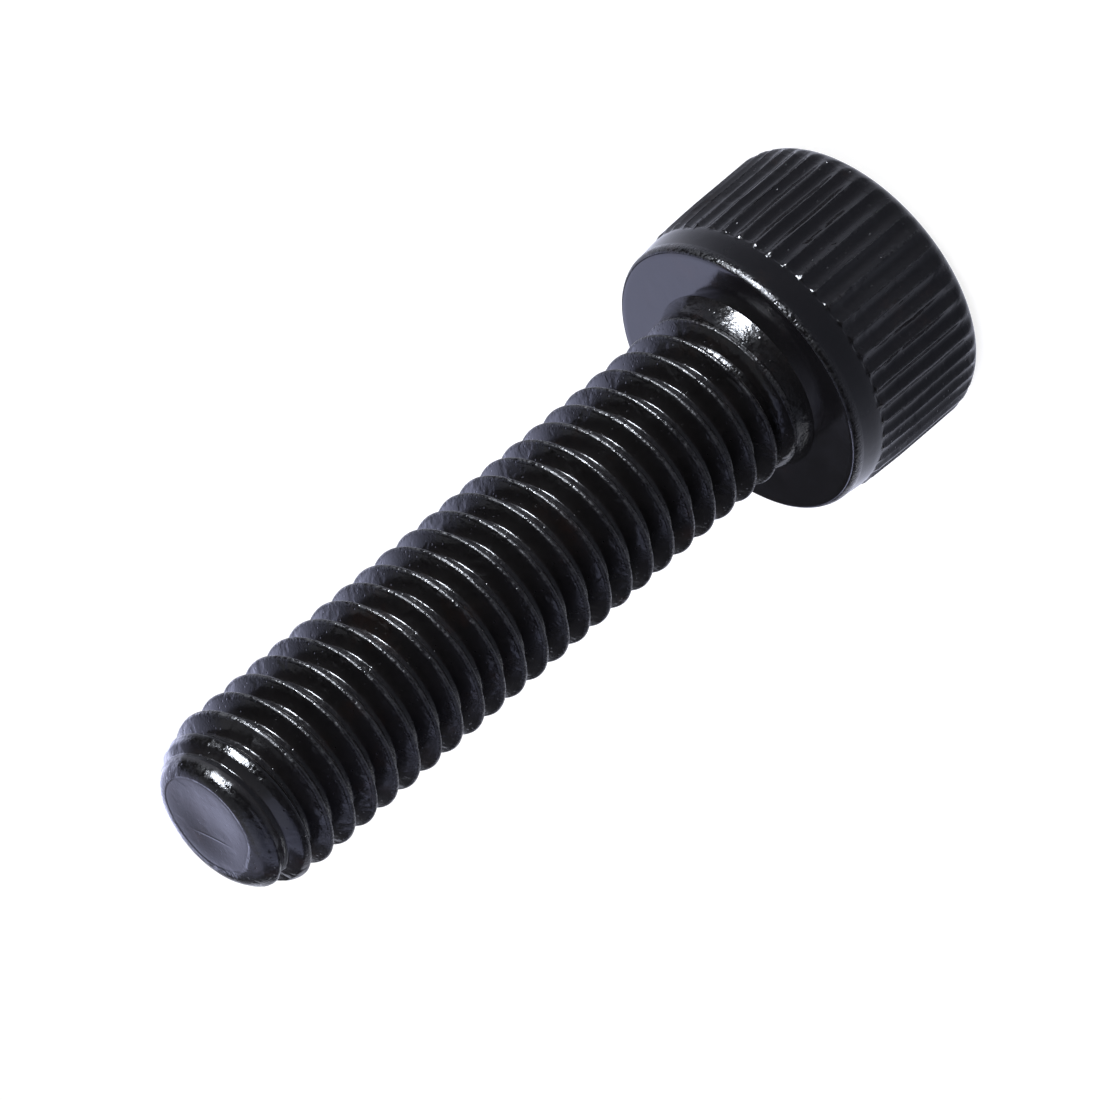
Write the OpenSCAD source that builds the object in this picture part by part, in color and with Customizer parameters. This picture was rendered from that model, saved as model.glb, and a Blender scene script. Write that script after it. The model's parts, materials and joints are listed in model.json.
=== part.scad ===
// Cap screw with a knurled cylindrical head, a star drive socket and a rolled metric thread.
// Millimetres. The origin is the centre of the bearing face. +Z runs along the shank to the
// point, so the screw stands on the top of its head.

/* [Shank] */
// Length from the bearing face to the point
shank_l = 20; // [10:0.5:26]
// Nominal diameter of the thread
thread_d = 5; // [4:0.05:6]
// Pitch of the thread
pitch = 0.8; // [0.6:0.01:1]
// How far the rolled crests fall short of the nominal diameter
crest_short = 0.09; // [0:0.01:0.2]
// Width of the flat on a crest
crest_w = 0.1; // [0.06:0.01:0.24]
// Length over which the groove grows shallow towards the head
runout_l = 1.7; // [0.8:0.1:2.4]
// Straight steps in one turn of the thread
turn_steps = 32; // [24:4:40]

/* [Point] */
// Length over which the crests narrow to the rounding of the point
point_l = 0.3; // [0.2:0.05:1]
// Radius of the rounding between the crests and the end face
point_round = 1.14; // [0.8:0.02:1.4]
// Diameter of the end face
face_d = 2.3; // [1.8:0.05:2.8]
// Depth of the shallow dish in the end face
dish_depth = 0.08; // [0.02:0.01:0.15]

/* [Neck] */
// How far the neck under the head falls short of the nominal diameter
neck_short = 0.2; // [0.1:0.01:0.3]
// Height of the hollow between the bearing face and the neck
hollow_h = 0.62; // [0.3:0.01:0.8]
// Radius of the hollow
hollow_r = 1; // [0.85:0.05:1.5]

/* [Head] */
// Diameter over the ridges of the knurl
head_d = 8.4; // [7:0.05:10.5]
// Height of the head
head_h = 5; // [4:0.05:6.5]
// Number of ridges round the head
ridges = 50; // [30:1:60]
// Depth of the grooves between the ridges
groove_depth = 0.13; // [0.08:0.01:0.16]
// Width left on top of each ridge
ridge_w = 0.06; // [0.03:0.01:0.2]
// Height of the plain band between the knurl and the bearing face
band_h = 1.02; // [0.6:0.01:1.4]
// How far the plain band lies inside the ridges
band_short = 0.1; // [0.04:0.01:0.2]
// Height of the bevelled lip round the bearing face
lip_h = 0.17; // [0.05:0.01:0.3]
// Width of that lip
lip_w = 0.16; // [0.05:0.01:0.3]
// Rounding of the head's far rim
rim_r = 0.7; // [0.25:0.05:1]

/* [Socket] */
// Distance across the points of the star
star_d = 4.5; // [3.4:0.05:5.4]
// Distance across its flutes, as a share of the points
star_waist = 0.722; // [0.7:0.002:0.74]
// Radius of each point, as a share of the distance across the points
star_tip = 0.084; // [0.07:0.002:0.1]
// Depth of the straight walls, from the head's end to the cone below the points
star_depth = 2; // [1:0.05:2.6]
// Angle of the cone at the bottom of the socket
star_cone = 140; // [120:1:160]
// Width of the countersink outside the points of the star
mouth_w = 0.08; // [0.02:0.01:0.2]
// Angle of that countersink
mouth_cone = 120; // [90:1:130]

/* [Hidden] */

black_oxide = [0.09, 0.09, 0.1];
curve_fn = 96;
sunk = 0.3;             // how far one form reaches into the next
eps = 0.01;             // how near two heights count as the same
neck_cover = 0.03;      // how far the neck stands proud of the skin inside it

// Thread: 60 degree flanks, and the depth of an external metric thread in pitches
flank_angle = 30;
depth_in_pitches = 0.6134;
crest_r = (thread_d - crest_short) / 2;
root_r = thread_d / 2 - depth_in_pitches * pitch;
flank_w = (crest_r - root_r) * tan(flank_angle);
// One pitch of the section, from the middle of a crest: [height, is it in the root]
section = [
    [crest_w / 2, false],
    [crest_w / 2 + flank_w, true],
    [pitch - crest_w / 2 - flank_w, true],
    [pitch - crest_w / 2, false]
];

// Neck: its hollow is tangent to the neck and leaves a crisp foot on the bearing face
neck_r = (thread_d - neck_short) / 2;
neck_top = hollow_h + pitch / 8;
foot_r = neck_r + hollow_r - sqrt(pow(hollow_r, 2) - pow(hollow_h, 2));

// Heights between which the thread runs, and the radii that close it
thread_low = hollow_h - sunk;
round_turn = 30;        // angle of the rounding that the thread leaves plain
thread_high = shank_l - point_round * (1 - cos(round_turn));
low_r = neck_r - neck_cover;
face_r = face_d / 2;
round_steps = 4;
dish_steps = 4;
groove_steps = 3;       // flats on each side of a groove's middle

head_r = head_d / 2;
groove_r = head_r - groove_depth;
// The round of a groove passes through its bottom and through the tops of the ridges beside it
groove_w = 2 * PI * head_r / ridges - ridge_w;
groove_round = (pow(groove_w / 2, 2) + pow(groove_depth, 2)) / (2 * groove_depth);
band_r = head_r - band_short;
bearing_r = band_r - lip_w;

// Star socket: the flutes' radius follows from the points' radius where both are tangent
star_r = star_d / 2;
star_tip_r = star_tip * star_d;
star_tip_at = star_r - star_tip_r;
star_waist_r = star_waist * star_r;
flute_r = (pow(star_tip_at, 2) + pow(star_waist_r, 2)
    - 2 * star_tip_at * star_waist_r * cos(30) - pow(star_tip_r, 2))
    / (2 * (star_tip_r + star_tip_at * cos(30) - star_waist_r));
flute_at = star_waist_r + flute_r;
// Where a point's arc meets a flute's arc, and its distance from the axis
meet = star_tip_r / (star_tip_r + flute_r);
meet_r = norm([
    star_tip_at + meet * (flute_at * cos(30) - star_tip_at),
    meet * flute_at * sin(30)
]);
mouth_r = star_r + mouth_w;

function ramp(t) = min(1, max(0, t));
function blend(a, b, t) = a + (b - a) * ramp(t);

// How far the thread has risen from the neck at a height, from 0 to 1
function risen(z) = ramp((z - thread_low) / runout_l);
// Radius of the point at a height: the rounding, and below it the cone that opens to the crests
function point_at(z) = let (up = z - (shank_l - point_round))
    up < 0 ? blend(face_r + point_round, crest_r, -up / point_l)
    : face_r + sqrt(max(0, pow(point_round, 2) - pow(up, 2)));
// Radius of the crests at a height: full along the shank, less at the neck and the point
function crest_at(z) = min(blend(low_r, crest_r, risen(z)), point_at(z));
// Radius of the roots at a height: level with the crests at the neck
function root_at(z) = min(crest_at(z), blend(low_r, root_r, risen(z)));

// The threaded shank is one skin of helical rows, clipped between a ring in the neck and the
// rings that round off the point.
module threaded_shank() {
    knots = len(section);
    rows = knots * ceil((thread_high - thread_low) / pitch + 4);
    first_turn = floor(thread_low / pitch) - 2;
    step_angle = 360 / turn_steps;

    function row_z(step, row) =
        pitch * (first_turn + step / turn_steps + floor(row / knots)) + section[row % knots][0];
    function row_r(step, row) =
        section[row % knots][1] ? root_at(row_z(step, row)) : crest_at(row_z(step, row));
    function on_skin(r, step, z) = [r * cos(step * step_angle), r * sin(step * step_angle), z];

    // Each ring is [radius, height]: one in the neck, then the rounding, then the dish
    rings = concat(
        [[low_r, thread_low]],
        [for (k = [round_steps : -1 : 0]) let (a = round_turn * k / round_steps)
            [face_r + point_round * sin(a), shank_l - point_round * (1 - cos(a))]],
        [for (k = [dish_steps - 1 : -1 : 1]) let (t = k / dish_steps)
            [face_r * t, shank_l - dish_depth * (1 - pow(t, 2))]]
    );
    points = concat(
        [for (step = [0 : turn_steps - 1]) for (row = [0 : rows])
            on_skin(row_r(step, row), step, row_z(step, row))],
        [for (ring = rings) for (step = [0 : turn_steps - 1])
            on_skin(ring[0], step, ring[1])],
        [[0, 0, shank_l - dish_depth]]
    );

    function ring_point(ring, step) = turn_steps * (rows + 1 + ring) + step % turn_steps;
    // A row that has left the thread is the nearest ring; a full turn on is one pitch up
    function row_point(step, row) =
        step == turn_steps ? row_point(0, row + knots)
        : row_z(step, row) < thread_low + eps ? ring_point(0, step)
        : row_z(step, row) > thread_high - eps ? ring_point(1, step)
        : step * (rows + 1) + row;
    // Two triangles, without those that clipping has closed to nothing
    function quad(a, b, c, d) = concat(
        a == b || b == c ? [] : [[a, c, b]],
        a == d || d == c ? [] : [[a, d, c]]
    );

    faces = concat(
        [[for (step = [0 : turn_steps - 1]) ring_point(0, step)]],
        [for (step = [0 : turn_steps - 1]) for (row = [0 : rows - knots - 1])
            each quad(row_point(step, row), row_point(step + 1, row),
                row_point(step + 1, row + 1), row_point(step, row + 1))],
        [for (ring = [1 : len(rings) - 2]) for (step = [0 : turn_steps - 1])
            each quad(ring_point(ring, step), ring_point(ring, step + 1),
                ring_point(ring + 1, step + 1), ring_point(ring + 1, step))],
        [for (step = [0 : turn_steps - 1])
            [ring_point(len(rings) - 1, step), len(points) - 1,
             ring_point(len(rings) - 1, step + 1)]]
    );
    polyhedron(points, faces, convexity = 10);
}

// The neck, and the hollow that carries it into the bearing face
module neck() {
    rotate_extrude($fn = curve_fn) {
        translate([0, -sunk])
            square([neck_r, sunk + neck_top]);
        difference() {
            translate([0, -sunk])
                square([foot_r, sunk + hollow_h]);
            translate([neck_r + hollow_r, hollow_h])
                circle(hollow_r, $fn = curve_fn);
        }
    }
}

// The head before it is knurled: bearing face, bevelled lip, plain band, body, round far rim
module head_blank() {
    rotate_extrude($fn = curve_fn) {
        polygon([
            [0, 0],
            [bearing_r, 0],
            [band_r, -lip_h],
            [band_r, -band_h],
            [head_r, -band_h - (head_r - band_r)],
            [head_r, rim_r - head_h],
            [head_r - rim_r, -head_h],
            [0, -head_h]
        ]);
        translate([head_r - rim_r, rim_r - head_h])
            circle(rim_r, $fn = curve_fn);
    }
}

// Hollow grooves along the head, which leave the narrow ridges of the knurl between them
module knurl_grooves() {
    opening = asin(groove_w / 2 / groove_round);
    for (k = [0 : ridges - 1])
        rotate([0, 0, 360 * (k + 0.5) / ridges])
            translate([groove_r, 0, -head_h - sunk])
                linear_extrude(head_h + sunk - band_h)
                    polygon([
                        for (step = [-groove_steps : groove_steps])
                            let (a = opening * step / groove_steps)
                                groove_round * [1 - cos(a), sin(a)],
                        [groove_depth + eps, groove_w / 2],
                        [groove_depth + eps, -groove_w / 2]
                    ]);
}

// Outline of the star: six round points between six round flutes
module star_outline() {
    difference() {
        circle(meet_r, $fn = curve_fn);
        for (k = [0 : 5])
            rotate(60 * k + 30)
                translate([flute_at, 0])
                    circle(flute_r, $fn = curve_fn);
    }
    for (k = [0 : 5])
        rotate(60 * k)
            translate([star_tip_at, 0])
                circle(star_tip_r, $fn = curve_fn);
}

// The space of the socket: countersunk mouth, star walls, and a cone across the bottom
module star_socket() {
    slope = 1 / tan(star_cone / 2);
    mouth_slope = 1 / tan(mouth_cone / 2);
    translate([0, 0, -head_h]) {
        rotate_extrude($fn = curve_fn)
            polygon([
                [0, -sunk],
                [mouth_r + sunk / mouth_slope, -sunk],
                [0, mouth_r * mouth_slope]
            ]);
        intersection() {
            linear_extrude(head_h)
                star_outline();
            rotate_extrude($fn = curve_fn)
                polygon([
                    [0, -sunk],
                    [star_r + sunk, -sunk],
                    [star_r + sunk, star_depth - sunk * slope],
                    [0, star_depth + star_r * slope]
                ]);
        }
    }
}

module head() {
    difference() {
        head_blank();
        knurl_grooves();
        star_socket();
    }
}

module screw() {
    color(black_oxide) {
        head();
        neck();
        threaded_shank();
    }
}

screw();
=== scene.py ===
"""Looks of the knurled star drive cap screw: camera, light, floor and the finely modelled screw."""
import json
import math

import bpy
import numpy as np
from mathutils import Matrix, Vector


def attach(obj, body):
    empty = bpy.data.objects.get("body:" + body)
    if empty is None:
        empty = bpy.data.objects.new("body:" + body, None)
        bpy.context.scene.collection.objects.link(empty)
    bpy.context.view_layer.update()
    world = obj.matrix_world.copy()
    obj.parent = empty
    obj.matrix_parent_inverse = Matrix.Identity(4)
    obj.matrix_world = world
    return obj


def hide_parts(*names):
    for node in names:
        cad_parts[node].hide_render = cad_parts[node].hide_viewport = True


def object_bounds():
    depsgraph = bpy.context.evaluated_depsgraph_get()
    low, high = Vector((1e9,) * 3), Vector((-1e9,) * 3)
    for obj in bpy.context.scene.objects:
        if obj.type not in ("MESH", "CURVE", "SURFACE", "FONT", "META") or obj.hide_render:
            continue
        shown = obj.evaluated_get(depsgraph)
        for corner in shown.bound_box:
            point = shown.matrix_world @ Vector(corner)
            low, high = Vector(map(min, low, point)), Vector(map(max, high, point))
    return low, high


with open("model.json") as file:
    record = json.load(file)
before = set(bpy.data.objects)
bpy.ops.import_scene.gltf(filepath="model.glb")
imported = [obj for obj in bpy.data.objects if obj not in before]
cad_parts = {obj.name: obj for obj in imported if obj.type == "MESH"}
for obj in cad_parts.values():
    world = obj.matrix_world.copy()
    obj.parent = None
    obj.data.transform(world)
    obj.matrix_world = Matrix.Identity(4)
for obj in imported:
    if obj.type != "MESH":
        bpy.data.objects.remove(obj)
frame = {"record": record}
cad_low, cad_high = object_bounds()

# ---------------------------------------------------------------- sizes, in millimetres
record = frame["record"]
dims = {m["name"]: m["dims"] for m in record["mounts"]}
MM = 0.001
HEAD_R = cad_high.x / MM
HEAD_Z = cad_low.z / MM
TIP_Z = cad_high.z / MM
CREST_R = dims["thread"]["r_mm"]
CREST_AT = -0.045           # height of a crest where the angle about the axis is nought
BAND_R = 4.1
STAR_R = dims["star_socket"]["r_mm"]
STAR_DEPTH = dims["star_socket"]["length_mm"]
PITCH = 0.8
ROOT_R = 1.95
NECK_R = 2.425
HOLLOW_H = 0.6
BEARING_R = 3.96
LIP_H = 0.17
BAND_H = 1.02
GROOVE_R = 4.06
RIM_R = 0.7
RIDGES = 50
THREAD_STEPS = 100          # columns in one turn of the thread
THREAD_LOW = 0.48
THREAD_HIGH = 19.72
RIM_TOP_R = 1.90            # radius of the ring where the thread ends and the point's rim begins
FACING = -71.03             # angle about the axis of the side that the camera faces
FACE_DROP = 0.045           # how far the rim of the end face lies below the tip
FACE_TILT = 0.03
DISH = 0.05                 # depth of the hollow in the end face
RIM_TURN = 62               # degrees through which the point's rim turns, from the end face to the thread
CREASE_WIDTH = 3e-5         # in metres, like the place that the material reads
CREASE_FROM_AXIS = 0.354


# ---------------------------------------------------------------- small helpers
def smooth(t):
    t = np.clip(t, 0, 1)
    return t * t * (3 - 2 * t)


def turn_from(angle, direction):
    """Angle, -pi to pi, from a direction that is given in degrees."""
    return np.mod(angle - math.radians(direction) + math.pi, 2 * math.pi) - math.pi


def wave(x, seed, octaves=4, base=1.0):
    """A repeatable wandering line, about -1 to 1."""
    rng = np.random.default_rng(seed)
    total, size = 0, 0
    for k in range(octaves):
        for _ in range(3):
            f = base * 2 ** k * rng.uniform(0.7, 1.4)
            total = total + 0.5 ** k * np.sin(f * x + rng.uniform(0, 2 * math.pi))
            size += 0.5 ** k
    return total * 1.8 / size


def round_wave(angle, seed, lowest=1, highest=8):
    """As wave, but it closes after a full turn."""
    rng = np.random.default_rng(seed)
    total, size = 0, 0
    for k in range(lowest, highest + 1):
        weight = 1 / k ** 0.7
        total = total + weight * np.sin(k * angle + rng.uniform(0, 2 * math.pi))
        size += weight
    return total * 1.8 / size


class Skin:
    """Vertices, faces and the masks that the material reads."""

    def __init__(self):
        self.points, self.faces = [], []
        self.masks = {"edge_mask": [], "worn_mask": [], "pit_mask": [], "gloss_mask": [], "crease_mask": []}

    def ring(self, angle, r, z, edge=0.0, worn=0.0, pits=0.3, gloss=1.0, crease=0.0):
        return self.add(angle, r, z, (edge, worn, pits, gloss, crease))

    def add(self, angle, r, z, masks):
        first = sum(len(p) for p in self.points)
        r = np.broadcast_to(r, angle.shape).astype(float)
        z = np.broadcast_to(z, angle.shape).astype(float)
        self.points.append(np.stack([r * np.cos(angle), r * np.sin(angle), z], 1))
        for layer, value in zip(self.masks.values(), masks):
            layer.append(np.broadcast_to(value, angle.shape).astype(float))
        return first + np.arange(len(angle))

    def join(self, upper, lower):
        """Quads between two rings of the same count; upper is nearer the point."""
        n = len(upper)
        for k in range(n):
            j = (k + 1) % n
            self.faces.append((upper[k], lower[k], lower[j], upper[j]))

    def fan(self, ring, centre, up):
        n = len(ring)
        for k in range(n):
            j = (k + 1) % n
            self.faces.append((centre, ring[k], ring[j]) if up else (centre, ring[j], ring[k]))

    def stitch(self, coarse, fine):
        """Triangles from a coarse upper ring to a lower ring with a whole multiple of its points."""
        n, m = len(coarse), len(fine)
        ratio = m // n
        for k in range(n):
            j = (k + 1) % n
            for i in range(ratio):
                a, b = fine[k * ratio + i], fine[(k * ratio + i + 1) % m]
                self.faces.append((coarse[k] if 2 * i < ratio else coarse[j], a, b))
                if i == (ratio - 1) // 2:                # the last one that hangs on the first coarse point
                    self.faces.append((coarse[k], b, coarse[j]))


skin = Skin()

# ---------------------------------------------------------------- thread
# One pitch of the section: offset from the crest's middle and drop below the crest, then the
# flank and the root, by their share of the depth.
HALF = [(0.006, 0.0, 1), (0.020, 0.0029, 1), (0.036, 0.0100, 1), (0.050, 0.0210, 1), (0.061, 0.036, 0.8),
        (0.084, 0.076, 0.3)]
FLANK = [(0.300, 0.891, 0.0), (0.325, 0.971, 0.0), (0.345, 0.997, 0.35), (0.372, 1.0, 0.45)]
knots = (
    [(o, d, None, e) for o, d, e in HALF]
    + [(o, None, s, e) for o, s, e in FLANK]
    + [(PITCH - o, None, s, e) for o, s, e in reversed(FLANK)]
    + [(PITCH - o, d, None, e) for o, d, e in reversed(HALF)]
)
K = len(knots)


def neck_at(z):
    """The slightly hollow cone between the bearing face and the first groove."""
    h = np.maximum(HOLLOW_H - z, 0)
    return NECK_R + 0.2493 * h + 0.139 * h ** 2


def crest_limit(z):
    """Radius of the crests: full along the shank, less at the neck and on the point."""
    full = neck_at(z) + (CREST_R - NECK_R) * smooth((z - 0.6) / 0.4)
    point = np.interp(z, [18.6, 19.05, 19.3, 19.55, THREAD_HIGH], [CREST_R, 2.30, 2.20, 2.06, RIM_TOP_R])
    return np.minimum(full, point)


def root_limit(z):
    """Radius of the root: the groove grows to its full depth within half a pitch of the neck."""
    depth = smooth((z - 0.52) / 0.6)
    return np.minimum(neck_at(z) + (ROOT_R - NECK_R) * depth, crest_limit(z))


turns = int(math.ceil((THREAD_HIGH - THREAD_LOW) / PITCH)) + 4
first_turn = int(math.floor(THREAD_LOW / PITCH)) - 2
steps = np.arange(THREAD_STEPS)
coarse_angle = steps * 2 * math.pi / THREAD_STEPS
grid_z = np.zeros((THREAD_STEPS, turns * K))
grid_r = np.zeros_like(grid_z)
grid_edge = np.zeros_like(grid_z)
grid_gloss = np.zeros_like(grid_z)
for row in range(turns * K):
    offset, drop, share, is_edge = knots[row % K]
    turn = first_turn + row // K
    lead = PITCH * (turn + steps / THREAD_STEPS) + CREST_AT
    path = (turn + steps / THREAD_STEPS) * 2 * math.pi      # angle run along the helix
    side = 1 if offset < PITCH / 2 else -1
    if side < 0:                                            # this knot belongs to the next crest
        path = path + 2 * math.pi
    z = lead + offset
    if drop is not None:
        near_point = smooth((lead + (0 if side > 0 else PITCH) - 18.1) / 0.6)
        z = z + (offset * 1.3 if side > 0 else (offset - PITCH) * 0.5) * near_point      # a broader last crest
        drop = drop * (1 - (0.6 if side > 0 else 0.2) * near_point)
        z = z + 0.009 * wave(path, 5, 5, 1.3) + side * 0.005 * wave(path, 11, 4, 2.1)
        worn_off = np.clip(0.006 * wave(path, 21 if side > 0 else 22, 5, 2.3) + 0.003, 0, 0.02)
        grown = np.clip((crest_limit(z) - root_limit(z)) / 0.3, 0, 1)
        r = np.minimum(crest_limit(z) - grown * (drop + worn_off), crest_limit(z))
        r = np.maximum(r, root_limit(z))
    else:
        r = crest_limit(z) + (root_limit(z) - crest_limit(z)) * share
    lumps = 0.016 * round_wave(path, 87, 14, 40) * smooth((z - 18.6) / 0.3)
    r = np.minimum(r + lumps, crest_limit(z) + 0.012)
    grid_gloss[:, row] = 1 if is_edge else 0.3 if side > 0 else -1
    grid_z[:, row] = z
    grid_r[:, row] = r
    grid_edge[:, row] = is_edge * (1 - 0.6 * smooth((z - 18.6) / 0.3))

# Point: a dished end face whose rim is rounder on the far side
away = np.cos(coarse_angle - math.radians(FACING + 15))
lower_right = np.exp(-(turn_from(coarse_angle, FACING - 65) / 0.7) ** 2)
face_r = 1.46 + 0.14 * away - 0.22 * lower_right + 0.035 * round_wave(coarse_angle, 3, 2, 7)
face_z = TIP_Z - FACE_DROP + FACE_TILT * away
centre = skin.ring(np.zeros(1), 0.0, TIP_Z - FACE_DROP - DISH, 0, 0, 0.1, 0.4, 1)
rings = []
for t in (0.2, 0.36, 0.52, 0.66, 0.78, 0.88, 0.95, 1.0):
    swell = 0.010 * round_wave(coarse_angle, 9, 1, 4) * t
    face_level = TIP_Z - FACE_DROP + (face_z - TIP_Z + FACE_DROP) * t
    rings.append(skin.ring(
        coarse_angle, face_r * t, face_level - DISH * (1 - t ** 2) ** 2 + swell * (1 - t),
        0, 0, 0.1, 0.4, 1 - smooth((t - 0.3) / 0.4)))
end_angle = math.radians(RIM_TURN)
for n, t in enumerate((0.12, 0.25, 0.4, 0.55, 0.7, 0.85, 1.0)):
    a = t * end_angle
    lump = 0.018 * round_wave(coarse_angle, 61 + n // 2, 8, 36) * (1 - t ** 3) * 2 * t
    rings.append(skin.ring(
        coarse_angle,
        face_r + (RIM_TOP_R - face_r) * math.sin(a) / math.sin(end_angle) + lump,
        face_z - (face_z - THREAD_HIGH) * (1 - math.cos(a)) / (1 - math.cos(end_angle)),
        0.35, 0, 0.6))
skin.fan(rings[0], centre[0], True)
for upper, lower in zip(rings, rings[1:]):
    skin.join(upper, lower)
top_ring = rings[-1]
low_ring = skin.ring(coarse_angle, neck_at(THREAD_LOW), THREAD_LOW, 0.25, 0, 0.4)

inside = (grid_z > THREAD_LOW + 0.005) & (grid_z < THREAD_HIGH - 0.005)
index = np.where(grid_z >= THREAD_HIGH - 0.005, top_ring[:, None], low_ring[:, None])
base = sum(len(p) for p in skin.points)
index[inside] = base + np.arange(inside.sum())
s_of, r_of = np.nonzero(inside)
skin.points.append(np.stack([
    grid_r[inside] * np.cos(coarse_angle[s_of]),
    grid_r[inside] * np.sin(coarse_angle[s_of]),
    grid_z[inside]], 1))
plain = np.zeros_like(grid_edge)
thread_masks = (grid_edge, grid_edge ** 4 * 0.08, plain + 0.6, grid_gloss, plain)
for layer, value in zip(skin.masks.values(), thread_masks):
    layer.append(value[inside])
columns = np.vstack([index, np.roll(index[0], -K)])      # a full turn on is one pitch up
for s in range(THREAD_STEPS):
    a, b = columns[s], columns[s + 1]
    for row in range(turns * K - K - 1):
        loop = []
        for v in (a[row], b[row], b[row + 1], a[row + 1]):
            if v not in loop:
                loop.append(int(v))
        if len(loop) > 2:
            skin.faces.append(tuple(loop))

# ---------------------------------------------------------------- head
# Ten columns to a ridge: closer together on its shoulders and in the groove
share_of_ridge = np.array([0, 0.035, 0.10, 0.19, 0.32, 0.50, 0.68, 0.81, 0.90, 0.965])
height_of_ridge = (0.6 * (1 - np.sin(math.pi * share_of_ridge))
                   + 0.2 * (1 + np.cos(2 * math.pi * share_of_ridge)))
fine = ((np.arange(RIDGES)[:, None] + share_of_ridge) * 2 * math.pi / RIDGES).ravel()
ridge_h = np.tile(height_of_ridge, RIDGES)
ridge_no = np.repeat(np.arange(RIDGES), len(share_of_ridge))
rng = np.random.default_rng(7)
ridge_start = rng.normal(0, 0.022, RIDGES)[ridge_no]
ridge_lift = 1 - np.abs(rng.normal(0, 0.08, RIDGES))[ridge_no]
ridge_shift = rng.normal(0, 0.0035, RIDGES)[ridge_no]
ridge_phase = rng.uniform(0, 2 * math.pi, RIDGES)[ridge_no]

# Hollow cone, from the first groove down to its crisp foot on the bearing face
last = skin.ring(fine, neck_at(THREAD_LOW - 0.03), THREAD_LOW - 0.03, 0.25, 0, 0.4)
skin.stitch(low_ring, last)
for z in np.linspace(THREAD_LOW - 0.1, 0, 6):
    ring = skin.ring(fine, neck_at(z), z, 0.25, 0, 0.4)
    skin.join(last, ring)
    last = ring
foot_r = neck_at(0.0)
lip_wave = 0.006 * round_wave(fine, 41, 3, 40)
profile = [
    (foot_r + 0.004, 0.0, 0), (foot_r + 0.05, 0.0, 0), (2.95, 0.0, 0), (3.4, 0.0, 0), (3.8, 0.0, 0),
    (BEARING_R - 0.03, 0.0, 0), (BEARING_R, -0.008, 1), (BEARING_R + 0.03, -0.035, 1),
    (BAND_R - 0.085, -0.08, 1), (BAND_R - 0.065, -0.13, 1), (BAND_R - 0.055, -LIP_H - 0.02, 0.7),
    (BAND_R - 0.05, -0.3, 0), (BAND_R - 0.035, -0.5, 0), (BAND_R - 0.01, -0.7, 0), (BAND_R, -0.84, 0),
]
for r, z, edge in profile:
    ring = skin.ring(fine, r + (lip_wave if edge == 1 else 0), z, 0.8 * edge, 0, 0.05 + 0.3 * edge)
    skin.join(last, ring)
    last = ring
start_levels = (-0.90, -0.93, -0.96, -0.99, -1.02, -1.06, -1.10, -1.15, -1.22, -1.35)
long_levels = (-1.7, -2.2, -2.7, -3.2, -3.7, -4.1, -4.25)
for z in start_levels + long_levels:
    along = -z - BAND_H + 0.09 + ridge_start
    land_r = HEAD_R - 0.035 * (1 - smooth((-z - 1.2) / 1.0))
    fade = 1 - 0.5 * smooth((-z - 3.6) / 1.0)
    knurled = land_r - (land_r - GROOVE_R) * (1 - ridge_h * ridge_lift) * fade
    start_slope = BAND_R + 0.33 * np.maximum(along - 0.08 * (1 - ridge_h), 0)
    r = np.where(knurled > BAND_R, np.minimum(knurled, start_slope),
                 BAND_R + (knurled - BAND_R) * smooth((along - 0.02) / 0.06))
    wobble = 0.006 * round_wave(fine * 1.0 + z * 0.4, 51, 20, 60)
    r = np.minimum(r + wobble * smooth(along / 0.2), HEAD_R)
    facet = (start_slope < knurled + 0.01) & (along > 0.02)
    shifted = fine + (ridge_shift + 0.0025 * np.sin(2.3 * z + ridge_phase)) * smooth(along / 0.2)
    ring = skin.ring(shifted, r, z, np.where(facet, 0.3, 0.02 + 0.12 * ridge_h ** 3 * (along > 0)),
                     0.2 * ridge_h ** 14 * (along > 0.1), 0.5 * (z < -1), 1)
    skin.join(last, ring)
    last = ring
for t in np.linspace(0, 1, 9):
    a = t * math.pi / 2
    r_round = HEAD_R - RIM_R * (1 - math.cos(a))
    ring = skin.ring(
        shifted + (fine - shifted) * t, np.minimum(knurled, r_round), HEAD_Z + RIM_R * (1 - math.sin(a)),
        0.1, 0.2 * ridge_h ** 14 * math.cos(a), 0.8)
    skin.join(last, ring)
    last = ring

# Star socket: six round points between six round flutes
tip_r = 0.084 * 2 * STAR_R
tip_at = STAR_R - tip_r
waist_r = 0.722 * STAR_R
flute_r = (tip_at ** 2 + waist_r ** 2 - 2 * tip_at * waist_r * math.cos(math.pi / 6) - tip_r ** 2) / (
    2 * (tip_r + tip_at * math.cos(math.pi / 6) - waist_r))
flute_at = waist_r + flute_r
turned = np.abs((fine + math.pi / 6) % (math.pi / 3) - math.pi / 6)      # 0 at a point, 30 deg at a flute
on_tip = tip_at * np.cos(turned) + np.sqrt(np.maximum(tip_r ** 2 - (tip_at * np.sin(turned)) ** 2, 0))
gap = math.pi / 6 - turned
on_flute = flute_at * np.cos(gap) - np.sqrt(np.maximum(flute_r ** 2 - (flute_at * np.sin(gap)) ** 2, 0))
meet = tip_r / (tip_r + flute_r)
meet_angle = math.atan2(meet * flute_at * 0.5, tip_at + meet * (flute_at * math.cos(math.pi / 6) - tip_at))
star = np.where(turned < meet_angle, on_tip, on_flute)
mouth_r = STAR_R + 0.08
mouth_slope = 1 / math.tan(math.radians(60))
cone_slope = 1 / math.tan(math.radians(70))
for r, z in ((3.3, 0), (2.8, 0), (mouth_r + 0.03, 0), (mouth_r, 0.008)):
    ring = skin.ring(fine, r, HEAD_Z + z)
    skin.join(last, ring)
    last = ring
edge_z = (mouth_r - star) * mouth_slope
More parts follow.
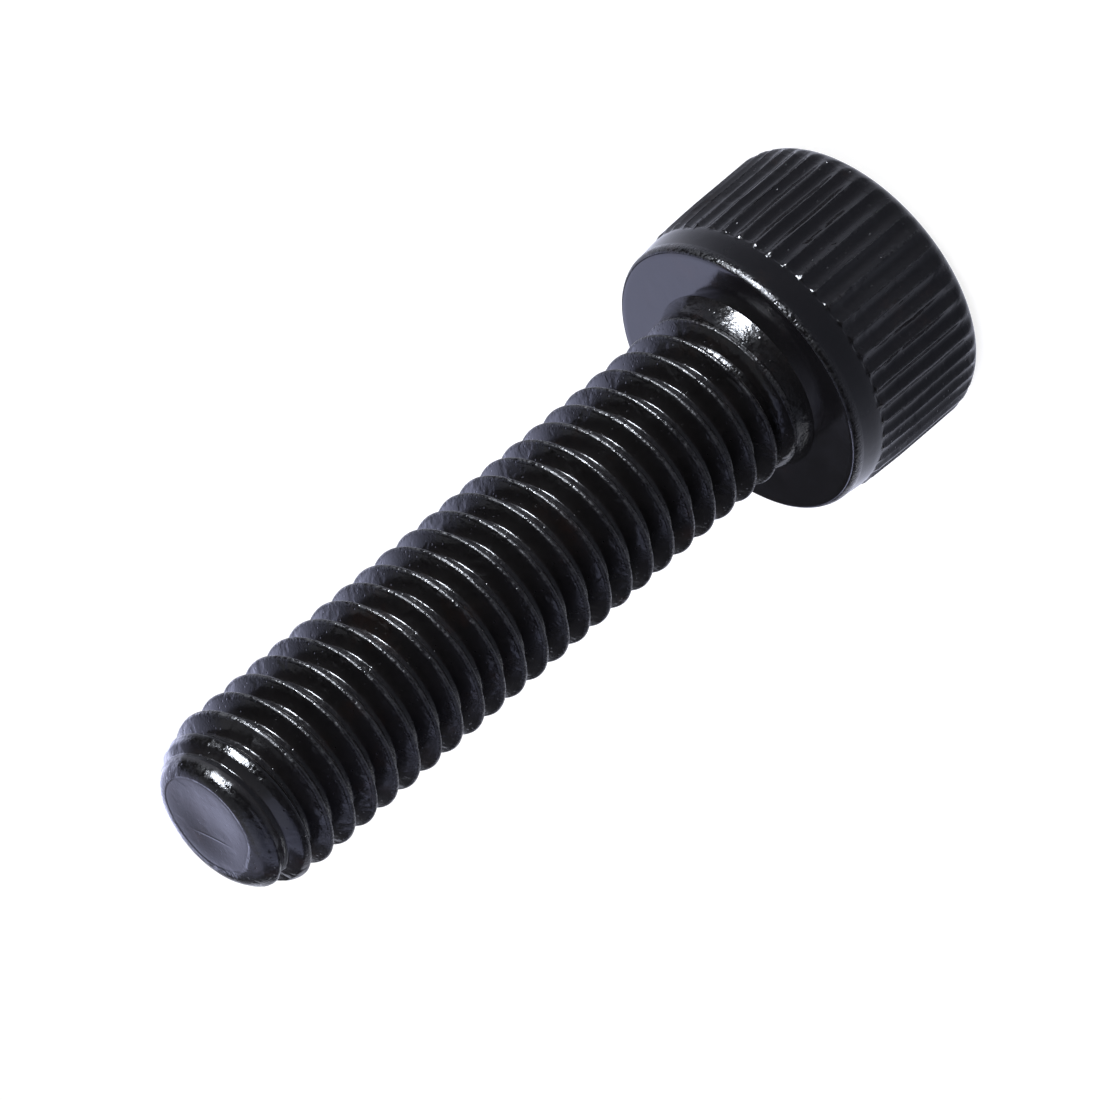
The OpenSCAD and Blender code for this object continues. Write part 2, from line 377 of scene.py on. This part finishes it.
for t in (0.5, 0.93):
    ring = skin.ring(fine, mouth_r + (star - mouth_r) * t, HEAD_Z + 0.008 + edge_z * t, 0.4)
    skin.join(last, ring)
    last = ring
wall_end = STAR_DEPTH + (STAR_R - star) * cone_slope
for t in (0.03, 0.35, 0.7, 0.985):
    ring = skin.ring(fine, star, HEAD_Z + 0.01 + edge_z + (wall_end - edge_z) * t, 0.3 if t < 0.1 else 0)
    skin.join(last, ring)
    last = ring
for t in (0.96, 0.7, 0.4, 0.15):
    ring = skin.ring(fine, star * t, HEAD_Z + STAR_DEPTH + (STAR_R - star * t) * cone_slope)
    skin.join(last, ring)
    last = ring
bottom = skin.ring(np.zeros(1), 0.0, HEAD_Z + STAR_DEPTH + STAR_R * cone_slope)
skin.fan(last, bottom[0], False)

# ---------------------------------------------------------------- mesh object
points = np.concatenate(skin.points)
mesh = bpy.data.meshes.new("screw_look")
mesh.from_pydata((points * MM).tolist(), [], [tuple(int(v) for v in f) for f in skin.faces])
mesh.validate()
mesh.polygons.foreach_set("use_smooth", [True] * len(mesh.polygons))
for name, values in skin.masks.items():
    layer = mesh.attributes.new(name, "FLOAT", "POINT")
    layer.data.foreach_set("value", np.concatenate(values).astype(np.float32))
mesh.set_sharp_from_angle(angle=math.radians(38))
mesh.update()
screw = bpy.data.objects.new("screw_look", mesh)
bpy.context.scene.collection.objects.link(screw)

# ---------------------------------------------------------------- material
def node(tree, kind, **settings):
    """A new shader node, laid out in rows in the order in which nodes are made."""
    made = tree.nodes.new(kind)
    row, column = divmod(len(tree.nodes), 8)
    made.location = (260 * column, -300 * row)
    for key, value in settings.items():
        setattr(made, key, value)
    return made


class Graph:
    """Short names for the nodes that the procedural material is made of."""

    def __init__(self, tree):
        self.tree = tree
        self.place = node(tree, "ShaderNodeTexCoord").outputs["Object"]

    def feed(self, socket, value):
        """Set a socket to a number or a colour, or link it to an output."""
        if isinstance(value, (int, float, tuple)):
            socket.default_value = value
        else:
            self.tree.links.new(value, socket)

    def noise(self, scale, detail, rough):
        made = node(self.tree, "ShaderNodeTexNoise")
        for name, value in (("Scale", scale), ("Detail", detail), ("Roughness", rough), ("Vector", self.place)):
            self.feed(made.inputs[name], value)
        return made.outputs["Fac"]

    def ramp(self, value, low, high, to_low=0.0, to_high=1.0, shape="LINEAR"):
        made = node(self.tree, "ShaderNodeMapRange", interpolation_type=shape)
        for name, given in (("Value", value), ("From Min", low), ("From Max", high),
                            ("To Min", to_low), ("To Max", to_high)):
            self.feed(made.inputs[name], given)
        return made.outputs["Result"]

    def mask(self, name):
        return node(self.tree, "ShaderNodeAttribute", attribute_name=name).outputs["Fac"]

    def maths(self, operation, *values):
        made = node(self.tree, "ShaderNodeMath", operation=operation)
        for socket, value in zip(made.inputs, values):
            self.feed(socket, value)
        return made.outputs[0]

    def mix(self, share, first, second):
        """Colours mixed by a share; the sockets 6, 7 and 2 are the node's colour ones."""
        made = node(self.tree, "ShaderNodeMix", data_type="RGBA")
        for socket, value in ((0, share), (6, first), (7, second)):
            self.feed(made.inputs[socket], value)
        return made.outputs[2]


def oxide_colour(g, patches, grain):
    """Black, patchy where it is dull, a little brown in stains and greyish where it is rubbed."""
    stain = g.ramp(g.noise(420, 7, 0.75), 0.56, 0.74)
    patchy = g.maths("MULTIPLY_ADD", patches, 0.4, 0.6)
    dull = g.maths("MULTIPLY_ADD", g.mask("gloss_mask"), -0.7, patchy)
    black = g.mix(dull, (0.0060, 0.0057, 0.0062, 1), (0.0150, 0.0135, 0.0142, 1))
    brown = g.mix(stain, black, (0.017, 0.0100, 0.0080, 1))
    broken = g.maths("MULTIPLY", g.ramp(patches, 0.25, 0.55), g.ramp(grain, 0.38, 0.58))
    rubbed = g.maths("MULTIPLY", broken, g.mask("worn_mask"))
    return g.mix(rubbed, brown, (0.150, 0.150, 0.165, 1))


def oxide_roughness(g, patches, edges):
    """Even, smoother where it is glossy; dull specks break the bright lines along the edges."""
    even = g.ramp(patches, 0.3, 0.7, 0.21, 0.27)
    glossy = g.maths("MULTIPLY_ADD", g.mask("gloss_mask"), -0.11, even)
    specks = g.maths("MULTIPLY", g.ramp(g.noise(8000, 2, 0.6), 0.46, 0.52, shape="SMOOTHSTEP"), edges)
    return g.maths("MULTIPLY_ADD", specks, 0.32, glossy)


def oxide_height(g, grain, edges):
    """An even grain, rough edges, a few small craters and one thin crease across the end face."""
    pits = g.noise(15000, 2, 0.5)
    grain_size = g.maths("MULTIPLY_ADD", edges, 0.38, 0.025)
    pit_size = g.maths("MULTIPLY_ADD", edges, 0.45, 0.025)
    fine_height = g.maths("ADD", g.maths("MULTIPLY", grain, grain_size), g.maths("MULTIPLY", pits, pit_size))

    cells = node(g.tree, "ShaderNodeTexVoronoi")
    g.feed(cells.inputs["Scale"], 5200)
    g.feed(cells.inputs["Vector"], g.place)
    crater = g.ramp(cells.outputs["Distance"], 0.03, 0.20, shape="SMOOTHSTEP")
    sparse = g.maths("MULTIPLY", g.ramp(g.noise(1500, 2, 0.5), 0.36, 0.48), g.mask("pit_mask"))
    craters = g.maths("MULTIPLY", g.maths("MULTIPLY", crater, 0.45), sparse)
    height = g.maths("ADD", fine_height, craters)

    normal = math.radians(FACING + 44.5)
    across = node(g.tree, "ShaderNodeVectorMath", operation="DOT_PRODUCT")
    g.feed(across.inputs[0], g.place)
    across.inputs[1].default_value = (math.cos(normal) / CREASE_WIDTH, math.sin(normal) / CREASE_WIDTH, 0)
    from_crease = g.maths("ADD", across.outputs["Value"], CREASE_FROM_AXIS * MM / CREASE_WIDTH)
    squared = g.maths("MULTIPLY", from_crease, from_crease)
    ridge = g.maths("EXPONENT", g.maths("MULTIPLY", squared, -1.0))
    return g.maths("MULTIPLY_ADD", g.maths("MULTIPLY", ridge, g.mask("crease_mask")), 0.12, height)


def black_oxide():
    mat = bpy.data.materials.new("black_oxide")
    mat.use_nodes = True
    shader = mat.node_tree.nodes["Principled BSDF"]
    g = Graph(mat.node_tree)
    patches = g.noise(900, 4, 0.6)
    grain = g.noise(9000, 3, 0.6)
    edges = g.mask("edge_mask")
    bump = node(g.tree, "ShaderNodeBump")
    bump.inputs["Strength"].default_value = 1.0
    bump.inputs["Distance"].default_value = 0.00004
    g.feed(bump.inputs["Height"], oxide_height(g, grain, edges))
    shader.inputs["Metallic"].default_value = 0.0
    shader.inputs["IOR"].default_value = 1.45
    # The tint leaves the reflection weak head on and full at a glance
    shader.inputs["Specular Tint"].default_value = (0.187, 0.198, 0.220, 1)
    g.feed(shader.inputs["Base Color"], oxide_colour(g, patches, grain))
    g.feed(shader.inputs["Roughness"], oxide_roughness(g, patches, edges))
    g.feed(shader.inputs["Normal"], bump.outputs["Normal"])
    return mat


mesh.materials.append(black_oxide())
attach(screw, "root")
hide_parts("screw")

# ---------------------------------------------------------------- floor
half = 1.5
floor_mesh = bpy.data.meshes.new("floor")
floor_mesh.from_pydata(
    [(-half, -half, cad_low.z), (half, -half, cad_low.z), (half, half, cad_low.z), (-half, half, cad_low.z)],
    [], [(0, 1, 2, 3)])
floor = bpy.data.objects.new("floor", floor_mesh)
bpy.context.scene.collection.objects.link(floor)


def shown_rays(tree):
    """1 for the rays that show the background: camera, glossy and transmission."""
    path = node(tree, "ShaderNodeLightPath")
    first = node(tree, "ShaderNodeMath", operation="MAXIMUM")
    second = node(tree, "ShaderNodeMath", operation="MAXIMUM")
    tree.links.new(path.outputs["Is Camera Ray"], first.inputs[0])
    tree.links.new(path.outputs["Is Glossy Ray"], first.inputs[1])
    tree.links.new(first.outputs[0], second.inputs[0])
    tree.links.new(path.outputs["Is Transmission Ray"], second.inputs[1])
    return second.outputs[0]


def white_floor():
    """White to the camera, a little bluish in the metal as in the photo; it keeps the shadow."""
    mat = bpy.data.materials.new("white_floor")
    mat.use_nodes = True
    tree = mat.node_tree
    tree.nodes.clear()
    out = node(tree, "ShaderNodeOutputMaterial")
    diffuse = node(tree, "ShaderNodeBsdfDiffuse")
    diffuse.inputs["Color"].default_value = (0.3, 0.3, 0.3, 1)
    glow = node(tree, "ShaderNodeEmission")
    seen = node(tree, "ShaderNodeLightPath")
    tint = node(tree, "ShaderNodeMix", data_type="RGBA")
    tint.inputs[6].default_value = (0.80, 0.83, 1.0, 1)
    tint.inputs[7].default_value = (1, 1, 1, 1)
    tree.links.new(seen.outputs["Is Camera Ray"], tint.inputs[0])
    tree.links.new(tint.outputs[2], glow.inputs["Color"])
    both = node(tree, "ShaderNodeAddShader")
    scale = node(tree, "ShaderNodeMath", operation="MULTIPLY")
    scale.inputs[1].default_value = 0.85
    tree.links.new(shown_rays(tree), scale.inputs[0])
    tree.links.new(scale.outputs[0], glow.inputs["Strength"])
    tree.links.new(diffuse.outputs[0], both.inputs[0])
    tree.links.new(glow.outputs[0], both.inputs[1])
    tree.links.new(both.outputs[0], out.inputs["Surface"])
    return mat


floor_mesh.materials.append(white_floor())

world = bpy.data.worlds.new("world")
bpy.context.scene.world = world
world.use_nodes = True
tree = world.node_tree
tree.nodes.clear()
out = node(tree, "ShaderNodeOutputWorld")
ambient = node(tree, "ShaderNodeBackground")
ambient.inputs["Color"].default_value = (1, 1, 1, 1)
ambient.inputs["Strength"].default_value = 0.08
tree.links.new(ambient.outputs[0], out.inputs["Surface"])

# ---------------------------------------------------------------- camera and light
elevation = math.radians(29.15)
around = math.radians(FACING)
toward = Vector((
    math.cos(around) * math.cos(elevation), math.sin(around) * math.cos(elevation), math.sin(elevation)))
aside = Vector((-math.sin(around), math.cos(around), 0))        # to the upper left of the picture
aim = Vector((0, 0, 7.43 * MM)) - aside * 0.205 * MM
roll = math.radians(220.35 - 90)                                # the screw's axis points to the lower left

level = toward.to_track_quat("Z", "Y").to_matrix()
turned_view = level @ Matrix.Rotation(-roll, 3, "Z")
camera = bpy.data.objects.new("camera", bpy.data.cameras.new("camera"))
camera.data.sensor_width = 36
camera.data.lens = 360
camera.data.clip_start = 0.01
camera.data.clip_end = 20
camera.matrix_world = Matrix.Translation(aim + toward * 0.2794) @ turned_view.to_4x4()
bpy.context.scene.collection.objects.link(camera)
bpy.context.scene.camera = camera


def lamp(name, place, target, width, height, radiance, colour=(1, 1, 1)):
    """A soft rectangular light of an even radiance; places are in metres."""
    direction = (place - target).normalized()
    data = bpy.data.lights.new(name, "AREA")
    data.shape = "RECTANGLE"
    data.size, data.size_y = width, height
    data.energy = radiance * math.pi * width * height
    data.color = colour
    made = bpy.data.objects.new(name, data)
    made.matrix_world = Matrix.Translation(place) @ direction.to_track_quat("Z", "Y").to_matrix().to_4x4()
    made.visible_camera = False
    bpy.context.scene.collection.objects.link(made)
    return made


facing = Vector((math.cos(around), math.sin(around), 0))
up = Vector((0, 0, 1))
middle = Vector((0, 0, 0.008))
key_way = (facing * 0.684 + aside * 0.726 + up * 0.071).normalized()
lamp("key", middle + key_way * 0.6, middle, 0.2, 0.2, 22)
shine_way = (key_way + up * 0.24).normalized()
shine = lamp("shine", middle + shine_way * 0.59, middle, 0.22, 0.28, 420)
shine.visible_diffuse = False            # gloss only, so that colours stay as written
# Cards close behind the screw, for the flat faces, as (one side, other side, low, high, radiance);
# the low ones leave the lower right of the bearing face dark
CARD_BLUE = (0.66, 0.69, 0.98)
CARDS_BEHIND = 0.034
cards = [(0.0006, 0.0506, 0.003, 0.024, 3.1), (-0.0035, 0.0465, 0.024, 0.0345, 3.0),
         (-0.0035, 0.010, 0.0345, 0.037, 2.2), (-0.0035, 0.010, 0.037, 0.070, 1.0),
         (-0.029, -0.0035, 0.037, 0.060, 1.6), (-0.045, -0.029, 0.056, 0.072, 1.6)]
# A stack that grows darker upwards and outwards, for the flanks on the left
STACK_LOW, STACK_STEP, STACK_STEPS = 0.0345, 0.0165, 6
for step in range(STACK_STEPS):
    low = STACK_LOW + STACK_STEP * step
    for side_edge, side_end, share in ((0.010, 0.038, 1.0), (0.038, 0.058, 0.55), (0.058, 0.085, 0.22)):
        radiance = 1.9 * share * (1 - step / STACK_STEPS) ** 1.3
        cards.append((side_edge, side_end, low, low + STACK_STEP, radiance))
for n, (side_edge, side_end, low, high, radiance) in enumerate(cards):
    place = -facing * CARDS_BEHIND + aside * (side_edge + side_end) / 2 + up * (low + high) / 2
    lamp("card_%d" % n, place, place + facing, side_end - side_edge, high - low, radiance, CARD_BLUE)
lamp("top", middle + up * 0.6, middle, 0.9, 0.9, 1.2)
# A small card to the upper right of the point, for the right of its rim and of the last turns
tip = Vector((0, 0, TIP_Z * MM))
lamp("rim_card", tip + (aside * -0.72 + up * 0.69) * 0.030, tip, 0.034, 0.034, 2.9, CARD_BLUE)
low_way = (turned_view @ Vector((-0.262, -0.947, -0.18))).normalized()
edge_way = (-facing * 0.344 - aside * 0.887 - up * 0.31).normalized()
edge_light = lamp("edge", middle + edge_way * 0.05, middle, 0.045, 0.008, 6.5)
edge_light.visible_diffuse = False
low_fill = lamp("low_fill", middle + low_way * 0.5, middle, 0.3, 0.3, 1.2, (0.72, 0.78, 1.0))
low_fill.visible_glossy = False

bpy.context.scene.view_settings.view_transform = "Standard"

print("triangles", sum(len(p.vertices) - 2 for p in mesh.polygons))
